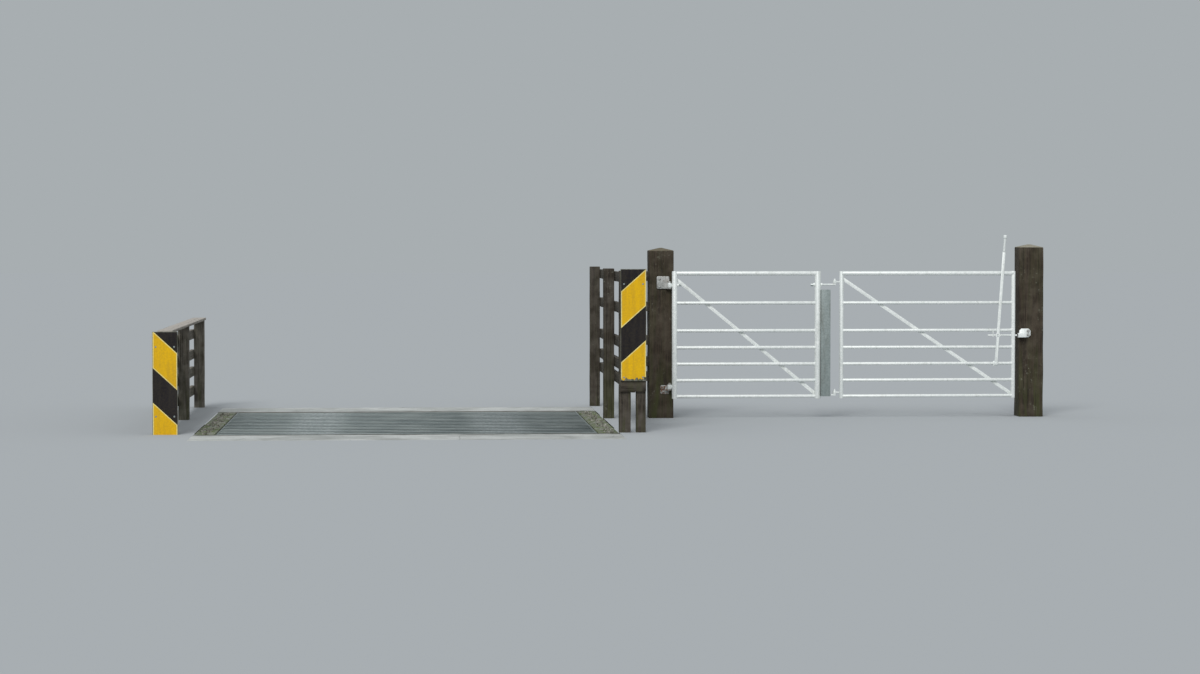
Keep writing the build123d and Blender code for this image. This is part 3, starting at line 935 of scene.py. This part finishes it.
# %% [markdown]
# ## Galvanised steel
#
# Hot-dip zinc is nearly white when it dulls, with a faint patchwork of crystals and grey runs where
# water hangs. The crystals are a Voronoi pattern, whose cells each get their own shade. The group is
# used three times: bright on the gates, greyer on the box stile and the bolts, and on the hook plates
# with rust that has broken through, which is a noise that passes its threshold sooner lower down.

# %% Node group for zinc crystals
zinc_crystals, given, way_out = new_group(
    "zinc_crystals", {"Vector": "Vector", "Size": "Float"}, ["Shade", "Run"]
)
crystal_scale = reckon("DIVIDE", 1.0, given["Size"])
inputs = {"Vector": given["Vector"], "Scale": crystal_scale}
crystals = add("ShaderNodeTexVoronoi", inputs)
hanging = stretched(given["Vector"], (1.0, 1.0, 0.15))
run = noise(hanging, 22.0, 4.0, 0.7)
feed(
    way_out,
    Shade=coordinate(crystals.outputs["Color"], "X"),
    Run=rise(run, 0.50, 0.74),
)
count_nodes(zinc_crystals)


# %% Zinc finishes
def zinc(name, dark, pale, stain, dirt, rust=0.0):
    """Galvanised steel. Rust is the share of it that has broken through, more towards the ground."""
    material, shader, place = new_material(name, Metallic=0.2)
    look = use(zinc_crystals, Vector=place, Size=0.011)
    marks = use(weather, Vector=place, Size=0.25)
    colour = mix(look["Shade"], dark, pale)
    colour = mix(marks["Broad"], colour, dark, 0.4)
    colour = mix(look["Run"], colour, stain, dirt)
    roughness = plus(times(look["Shade"], 0.12), 0.42)
    if rust:
        lowness = rise(coordinate(place, "Z"), road + 1.3, road + 0.1)
        gnawed = noise(place, 48.0, 7.0, 0.7)
        spread = plus(gnawed, times(lowness, 0.10))
        broken = rise(spread, 0.61 - rust * 0.1, 0.74 - rust * 0.1)
        crumbs = mix(marks["Fine"], srgb(84, 56, 38), srgb(124, 86, 58))
        colour = mix(broken, colour, crumbs)
        roughness = plus(roughness, times(broken, 0.3))
    feed(shader, Base_Color=colour, Roughness=roughness)
    raise_bumps(shader, marks["Fine"], 0.0006, 0.5)
    return material


bright_zinc = zinc("bright_zinc", srgb(224, 229, 226), srgb(244, 246, 243), srgb(166, 168, 158), 0.3)
dull_zinc = zinc("dull_zinc", srgb(132, 142, 140), srgb(150, 160, 158), srgb(98, 98, 88), 0.5)
rusting_zinc = zinc(
    "rusting_zinc", srgb(150, 152, 148), srgb(190, 191, 188), srgb(118, 100, 84), 0.8, rust=0.6
)
count_nodes(bright_zinc, dull_zinc, rusting_zinc)

# %% [markdown]
# ## Bolts and nails
#
# A coach bolt has a low domed head on a round washer, a coach screw a hexagon on a washer. Each is
# modelled once, standing on the origin and looking along Z, and copies are turned to the face that
# they sit on.

# %% Fastener heads
def washer(radius, thick):
    """A washer with a soft edge."""
    plate = cylinder("washer", 20, radius, thick, (0, 0, thick / 2))
    bevel(plate, "FACE", faces_up, thick * 0.3, 1)
    return plate


def cut(piece, point, way, **settings):
    """Cut every face that a plane through this point meets."""
    open_up(piece)
    bpy.ops.mesh.bisect(plane_co=point, plane_no=way, **settings)
    leave()


def domed(radius):
    """A coach bolt or nail head of this radius on its washer."""
    plate = washer(radius * 1.5, radius * 0.2)
    bpy.ops.mesh.primitive_uv_sphere_add(
        segments=14, ring_count=8, radius=radius, location=(0, 0, radius * 0.2), scale=(1, 1, 0.5)
    )
    dome = settle(named("dome"))
    cut(dome, (0, 0, radius * 0.15), (0, 0, 1), clear_inner=True, use_fill=True)
    return joined("head", [dome, plate])


def hexagonal(across):
    """A coach screw's head of this width across flats on its washer."""
    plate = washer(across * 0.85, across * 0.14)
    radius = across / math.sqrt(3)
    hexagon = cylinder("hexagon", 6, radius, across * 0.5, (0, 0, across * 0.38))
    bevel(hexagon, "FACE", faces_up, across * 0.06, 1)
    return joined("head", [hexagon, plate])


look_along = {
    (X, 1): to_x,
    (X, -1): (0, math.radians(-90), 0),
    (Y, -1): (math.radians(90), 0, 0),
}


def fasteners(name, head, places, axis, side, node, material):
    """Copies of a head on a face that looks along an axis."""
    copies = [copy_of(head, place, look_along[axis, side]) for place in places]
    row = settle(joined(name, copies))
    bpy.data.objects.remove(head)
    place_on(row, node, material, replaced=False)


# %% Coach bolts and nails in rails and posts
bolt_head = 0.011
nail_head = 0.006
nail_inset = 0.03
sink = 0.0015


def rail_bolts(side, outward):
    """A bolt where each rail of a wing crosses each post."""
    node = f"{side}_wing_rails"
    post_middles = [(low + high) / 2 for low, high in solids_of(f"{side}_wing_posts")]
    places = []
    for low, high in solids_of(node):
        face = (high.x if outward > 0 else low.x) - outward * sink
        for middle in post_middles:
            places.append((face, middle.y, (low.z + high.z) / 2))
    fasteners(f"{side}_rail_bolts", domed(bolt_head), places, X, outward, node, dull_zinc)


rail_bolts("right", 1)
rail_bolts("left", -1)

nails = []
for low, high in solids_of("return_rails"):
    for inset in (nail_inset, high.x - low.x - nail_inset):
        nails.append((low.x + inset, low.y + sink, (low.z + high.z) / 2))
fasteners("return_rail_nails", domed(nail_head), nails, Y, -1, "return_rails", dull_zinc)

# %% [markdown]
# ## Marker boards
#
# Each board is plywood faced with reflective sheet in sloping yellow and black bands. The stripes
# could be a pattern in one material, but real sheet is cut and laid piece by piece. So the face is one
# thin plate that is cut along each sloping line, and each band between two cuts gets its own material.
# Thin edges of bare board stay round it. The sheet is torn along the foot of the right board.

# %% Board finishes
def sheet_finish(name, colour, faded, scuffs):
    """Reflective sheet with its honeycomb cells, faded, specked and streaked."""
    material, shader, place = new_material(name, Specular_IOR_Level=0.22, Roughness=0.42)
    marks = use(weather, Vector=place, Size=0.22)
    cells = add("ShaderNodeTexVoronoi", {"Vector": place, "Scale": 300.0})
    face = mix(marks["Broad"], colour, faded, 0.5)
    specks = times(marks["Fine"], scuffs)
    face = mix(specks, face, srgb(96, 84, 50), 0.5)
    runs = times(marks["Streak"], 0.5)
    face = mix(runs, face, srgb(84, 78, 60), scuffs)
    feed(shader, Base_Color=face)
    raise_bumps(shader, cells.outputs["Distance"], 0.0004, 0.4)
    return material


yellow_sheet = sheet_finish("yellow_sheet", srgb(230, 180, 4), srgb(216, 168, 18), 0.3)
black_sheet = sheet_finish("black_sheet", srgb(22, 19, 24), srgb(34, 30, 34), 0.2)
# a pale strip runs along each band line and down the sides of the yellow bands
pale_band_edge = sheet_finish("pale_band_edge", srgb(244, 226, 140), srgb(230, 212, 140), 0.4)

board_wood, shader, place = new_material("board_wood", Roughness=0.8)
marks = use(weather, Vector=place, Size=0.2)
grey_board = mix(marks["Broad"], srgb(96, 96, 88), srgb(136, 136, 126))
mouldy = mix(marks["Streak"], grey_board, srgb(74, 76, 56))
inputs = {"Vector": place, "Scale": 110.0}
plies = add("ShaderNodeTexWave", inputs, bands_direction="Y").outputs["Fac"]
feed(shader, Base_Color=mix(plies, mouldy, srgb(70, 62, 48), 0.35))
raise_bumps(shader, marks["Fine"], 0.001)
count_nodes(yellow_sheet, black_sheet, pale_band_edge, board_wood)

# %% Striped boards
stripe_pitch = 0.293
stripe_climb = 0.190
board_arris = 0.003
sheet_thick = 0.0012
sheet_margin = 0.004
pale_edge_half = 0.005
pale_side_width = 0.007
tear_cuts = 14
tolerance = 0.001


def tear(face, foot, depth):
    """Cut the foot of the sheet into short lengths and let each hang down by its own share."""

    def is_foot(middle, way):
        return middle.z < foot + tolerance and abs(way.x) > 0.99

    subdivide(face, "EDGE", is_foot, tear_cuts)
    hang = {}
    for vertex in face.data.vertices:
        if vertex.co.z < foot + tolerance:
            column = round(vertex.co.x, 4)
            if column not in hang:
                hang[column] = random.triangular(-0.7, 1.0, 0.5)
            vertex.co.z -= depth * hang[column]


def striped_board(side, first_line, climb, torn_foot=0.0):
    """A plywood board with a face of sloping bands.

    first_line is the height over the road at which the first band line meets the left edge, and
    climb is how far the line has risen at the right edge.
    """
    node = f"{side}_hazard_board"
    low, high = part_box(node)
    board = block(f"{node}_ply", low + Vector((0, sheet_thick, 0)), high)
    bevel_all(board, board_arris)
    place_on(board, node, board_wood)

    foot = low.z + (torn_foot or sheet_margin)
    left, right = low.x + sheet_margin, high.x - sheet_margin
    face_high = (right, low.y + sheet_thick, high.z - sheet_margin)
    face = block(f"{node}_sheet", (left, low.y, foot), face_high)
    slope = climb / (high.x - low.x)
    lines = []
    start = road + first_line
    while start > low.z - abs(climb):
        lines.append(start)
        start -= stripe_pitch
    pale_side_lines = (left + pale_side_width, right - pale_side_width)
    for x in pale_side_lines:
        cut(face, (x, low.y, low.z), (1, 0, 0))
    for line in lines:
        for shift in (-pale_edge_half, pale_edge_half):
            cut(face, (low.x, low.y, line + shift), (-slope, 0, 1))
    if torn_foot:
        tear(face, foot, torn_foot)
    place_on(face, node, yellow_sheet, replaced=False)
    face.data.materials.append(black_sheet)
    face.data.materials.append(pale_band_edge)
    for part in face.data.polygons:
        rising = part.center.z - slope * (part.center.x - low.x)
        steps = (lines[0] - rising) / stripe_pitch
        band = math.floor(steps)
        near_line = min(steps - band, band + 1 - steps) * stripe_pitch
        at_side = not pale_side_lines[0] < part.center.x < pale_side_lines[1]
        is_black = band % 2 == 1
        is_pale_edge = near_line < pale_edge_half or (at_side and not is_black)
        part.material_index = 2 if is_pale_edge else int(is_black)
    print(node, "has", len(lines), "band lines")


random.seed(12)
striped_board("right", 1.161, stripe_climb, torn_foot=0.022)
striped_board("left", 0.849, -stripe_climb)

# %% Screws through the boards
screw_head = 0.005
screw_inset = 0.028
screw_above_foot = 0.03
slight_sink = 0.0005
for side in ("right", "left"):
    node_name = f"{side}_hazard_board"
    low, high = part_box(node_name)
    screws = []
    for batten_low, batten_high in solids_of(f"{side}_board_battens"):
        height = max((batten_low.z + batten_high.z) / 2, low.z + screw_above_foot)
        for inset in (screw_inset, high.x - low.x - screw_inset):
            screws.append((low.x + inset, low.y + slight_sink, height))
    fasteners(f"{side}_board_screws", domed(screw_head), screws, Y, -1, node_name, dull_zinc)

# %% [markdown]
# ## Gate leaves
#
# A leaf is welded from straight tubes, so it is modelled from them: a tube is a cylinder with enough
# sides to look round and with eased ends. The rails run to the middle of each stile. A welder leaves a
# ring of weld round each rail where it meets a stile. The ring is a torus, but a stile is round, so
# each of its points is drawn back to the stile's curve. The bolt slides through a hole in the last
# stile, which is cut out of the tube by a boolean.

# %% Tubes and their welds
rail_heights = [0.020, 0.163, 0.310, 0.457, 0.608, 0.856, 1.121]  # over the leaf's foot
top_rail_radius = 0.019
weld_thick = 0.003
tube_arris = 0.0015


def tube(name, radius, start, end):
    """A straight round tube between two points, closed and eased at its ends."""
    start, end = Vector(start), Vector(end)
    way = (end - start).normalized()
    turn = way.to_track_quat("Z", "X").to_euler()
    piece = cylinder(name, 32, radius, (end - start).length, (start + end) / 2, turn)
    bevel(piece, "FACE", lambda middle, facing: abs(facing.dot(way)) > 0.9, tube_arris)
    return piece


def weld_ring(radius, place, stile_radius, side):
    """A weld that follows the saddle between a rail and a stile."""
    bpy.ops.mesh.primitive_torus_add(
        major_segments=24,
        minor_segments=6,
        major_radius=radius,
        minor_radius=weld_thick,
        rotation=to_x,
    )
    ring = settle(named("ring"))
    push_about(ring, weld_ripple, weld_thick * 0.7)
    for vertex in ring.data.vertices:
        off_middle = min(abs(vertex.co.y), stile_radius * 0.98)
        vertex.co.x += side * math.sqrt(stile_radius**2 - off_middle**2)
    ring.location = place
    return settle(ring)


# %% Both leaves
low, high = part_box("latch_bolt")
bolt_radius = (high.z - low.z) / 2
bolt_place = (high.y - bolt_radius, low.z + bolt_radius)
bolt_running = 0.0006


def leaf(kind, hang_radius, slam_radius, rail_radius, bored=False):
    """A leaf of two stiles and seven rails, with a weld round both ends of each rail.

    A bored leaf has a hole through its shutting stile, in which the latch bolt slides.
    """
    node = f"{kind}_leaf_frame"
    low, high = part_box(node)
    middle_y = (low.y + high.y) / 2
    stiles = (
        (low.x + hang_radius, hang_radius, 1),
        (high.x - slam_radius, slam_radius, -1),
    )
    tubes = []
    rings = []
    for x, radius, side in stiles:
        tubes.append(tube("stile", radius, (x, middle_y, low.z), (x, middle_y, high.z)))
    if bored:
        ends = [(x, *bolt_place) for x in (high.x - 3 * slam_radius, high.x + slam_radius)]
        carve(tubes[1], tube("bore", bolt_radius + bolt_running, *ends))
    for height in rail_heights:
        radius = top_rail_radius if height == rail_heights[-1] else rail_radius
        ends = [(x, middle_y, low.z + height) for x, stile_radius, side in stiles]
        tubes.append(tube("rail", radius, *ends))
        for end, (x, stile_radius, side) in zip(ends, stiles):
            rings.append(weld_ring(radius, end, stile_radius, side))
    piece = joined(f"{kind}_leaf_tubes", tubes)
    smooth(piece)
    welds = joined(f"{kind}_leaf_welds", rings)
    bpy.ops.object.shade_smooth()
    place_on(piece, node, bright_zinc)
    place_on(welds, node, bright_zinc, replaced=False)


leaf("vehicle", hang_radius=0.024, slam_radius=0.028, rail_radius=0.015)
leaf("bridle", hang_radius=0.0185, slam_radius=0.0185, rail_radius=0.014, bored=True)

# %% [markdown]
# The braces, the hooks and eyes that the leaves turn on and the latch are small flats, rods and
# forgings. Their solids have the right form, so each only gets soft edges, as the deck's steel did.

# %% Braces, hinges and latch
for node_name, material, arris in (
    ("vehicle_leaf_brace", bright_zinc, 0.001),
    ("bridle_leaf_brace", bright_zinc, 0.001),
    ("vehicle_leaf_eyes", bright_zinc, 0.0012),
    ("bridle_leaf_eyes", bright_zinc, 0.0012),
    ("box_stile", dull_zinc, 0.004),
    ("bridle_hooks", bright_zinc, 0.001),
    ("gate_hooks", rusting_zinc, 0.0005),  # more would fill the corner that an eye turns in
    ("latch_keeper", bright_zinc, 0.0015),
    ("latch_guide", bright_zinc, 0.001),
    ("latch_pivot", bright_zinc, 0.001),
    ("latch_lever", bright_zinc, 0.001),
    ("lever_grip", bright_zinc, 0.001),
    ("latch_bolt", bright_zinc, 0.0008),
):
    eased(node_name, arris, material)

# %% [markdown]
# A bolt has to stay in the lug that guides it, also when the lever has thrown it home. The solid's tail
# is too short for that, so a length of rod goes on behind it. It is a tube of its own that starts inside
# the bolt, a hair thinner so that no two faces lie on each other, and it still stands out behind the lug
# at the end of the travel.

# %% Tail of the bolt
tail_spare = 0.010
tail_start = 0.004
hair = 0.0002
bolt_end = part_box("latch_bolt")[0].x
travel = joints["latch_bolt_slide"]["range_m"][1]
tail_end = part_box("latch_guide")[0].x - travel - tail_spare
ends = [(x, *bolt_place) for x in (tail_end, bolt_end + tail_start)]
tail = tube("latch_bolt_tail", bolt_radius - hair, *ends)
smooth(tail)
place_on(tail, "latch_bolt", bright_zinc, replaced=False)
print("bolt's tail goes on for", round(bolt_end - tail_end, 3), "m")

# %% [markdown]
# The upper eye and the upper hook hold their stiles with nuts on threaded shanks, so that the leaves
# can be levelled. A thread is a fine zigzag. Here it is a cylinder cut into short lengths, of which
# every second ring is drawn in, which at this size can't be told from a helix.

# %% Threads on the hinge shanks
thread_pitch = 0.004
thread_crest = 0.0088
thread_root = 0.0078
thread_length = 0.022
plain_end = 0.0005
shank_radius = 0.008
hinge_x, leaf_middle = joints["vehicle_leaf_hinge"]["pos_m"][:2]


def thread(start, end, z):
    """A threaded length of a shank, from one place along X to another."""
    middle = ((start + end) / 2, leaf_middle, z)
    piece = cylinder("thread", 16, thread_crest, end - start, middle, to_x)
    half_turns = 2 * int((end - start) / thread_pitch)
    subdivide(piece, "EDGE", lies_along(X), half_turns - 1)
    half_pitch = (end - start) / half_turns
    for vertex in piece.data.vertices:
        if round((vertex.co.x - start) / half_pitch) % 2 == 0:
            vertex.co.y = leaf_middle + (vertex.co.y - leaf_middle) * thread_root / thread_crest
            vertex.co.z = z + (vertex.co.z - z) * thread_root / thread_crest
    return piece


low, high = solids_of("vehicle_leaf_eyes")[-1]
on_eye = thread(high.x - thread_length, high.x - plain_end, (low.z + high.z) / 2)
low, high = max(solids_of("bridle_hooks"), key=lambda box: box[1].z)
on_hook = thread(low.x + plain_end, low.x + thread_length, low.z + shank_radius)
place_on(joined("hinge_threads", [on_eye, on_hook]), "bridle_hooks", dull_zinc, replaced=False)

# %% Coach screws in the hook plates and the keeper
hexagon_width = 0.017
plate_inset = 0.022
plate_thick = 0.008


def plate_screws(name, node, plates):
    """Two coach screws in each plate, given where they stand, its foot and how tall it is."""
    places = []
    for x, front, foot, tall in plates:
        for height in (plate_inset, tall - plate_inset):
            places.append((x, front + slight_sink, foot + height))
    fasteners(name, hexagonal(hexagon_width), places, Y, -1, node, rusting_zinc)


hook_plates = [
    (low.x + plate_inset, high.y - plate_thick, low.z, hinge_x - low.x)
    for low, high in solids_of("gate_hooks")
]
plate_screws("hook_screws", "gate_hooks", hook_plates)
low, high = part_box("latch_keeper")
keeper_plate = (high.x - plate_inset, high.y - plate_thick, low.z, high.z - low.z)
plate_screws("keeper_screws", "latch_keeper", [keeper_plate])

# %% [markdown]
# ## Floor, light and camera
#
# The object is sunk in the ground, so the pale floor lies at the road surface and has an opening for
# the pit. It is one plane, cut along the four sides of the pit, with the piece in the middle deleted.

# %% Pale floor with an opening
floor_finish, shader, place = new_material("pale_floor", Roughness=1.0, Specular_IOR_Level=0.0)
shader.inputs["Base Color"].default_value = srgb(172, 176, 178)
floor_size = 240
near_wall, far_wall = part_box("near_abutment"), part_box("far_abutment")
bpy.ops.mesh.primitive_plane_add(size=floor_size, location=(0, 0, road))
floor = settle(named("floor"))
for pit_side in (near_wall[0].x, near_wall[1].x):
    cut(floor, (pit_side, 0, 0), (1, 0, 0))
for pit_end in (near_wall[0].y, far_wall[1].y):
    cut(floor, (0, pit_end, 0), (0, 1, 0))
choose(
    floor,
    "FACE",
    lambda middle, facing: abs(middle.x) < near_wall[1].x and abs(middle.y) < far_wall[1].y,
)
bpy.ops.mesh.delete(type="FACE")
leave()
coat(floor, floor_finish)
print("floor at", round(road, 3), "m, with", len(floor.data.polygons), "faces round its opening")

# %% [markdown]
# The day in question is overcast, so most light comes from the whole sky: a plain world. One broad
# lamp from the left gives the shapes a lighter and a darker side. Seen by the camera or in a
# reflection the world is the same pale grey as the floor.

# %% Light
world = bpy.data.worlds.new("overcast")
bpy.context.scene.world = world
world.use_nodes = True
tree = world.node_tree
sky = tree.nodes["Background"]
backdrop = tree.nodes.new("ShaderNodeBackground")
for lit, colour, strength in (
    (sky, srgb(232, 236, 240), 0.72),
    (backdrop, srgb(168, 174, 177), 1.0),
):
    lit.inputs["Color"].default_value = colour
    lit.inputs["Strength"].default_value = strength
path = tree.nodes.new("ShaderNodeLightPath").outputs
seen = reckon("MAXIMUM", path["Is Camera Ray"], path["Is Glossy Ray"])
either = add("ShaderNodeMixShader", {0: seen, 1: sky.outputs[0], 2: backdrop.outputs[0]})
feed(tree.nodes["World Output"], Surface=either.outputs[0])

sun_data = bpy.data.lights.new("soft_sun", "SUN")
sun_data.energy = 1.8
sun_data.angle = math.radians(25)
sun = new_object("soft_sun", sun_data)
sun.rotation_euler = (math.radians(50), 0, math.radians(-18))
sky_strength = round(sky.inputs["Strength"].default_value, 2)
print("sky of strength", sky_strength, "and a lamp of strength", round(sun_data.energy, 2))

# %% [markdown]
# The photograph was taken from the road, about 1.6 m up and 26 m before the middle of the grid. The
# camera stands there too, so that every angle is the same, and a longer lens fills the frame.

# %% Camera
eye_height = 1.59
eye_distance = 25.75
turned_right = math.radians(3.75)
pitched_down = math.radians(1.88)
camera_data = bpy.data.cameras.new("camera")
camera_data.lens = 88.25
camera_data.sensor_width = 36
camera_data.clip_end = 400
camera = new_object("camera", camera_data)
camera.location = (0, -eye_distance, road + eye_height)
camera.rotation_euler = (math.radians(90) - pitched_down, 0, -turned_right)
bpy.context.scene.camera = camera
print("camera", eye_distance, "m before the middle and", eye_height, "m over the road")

# %% Finish
bpy.context.scene.view_settings.view_transform = "Standard"
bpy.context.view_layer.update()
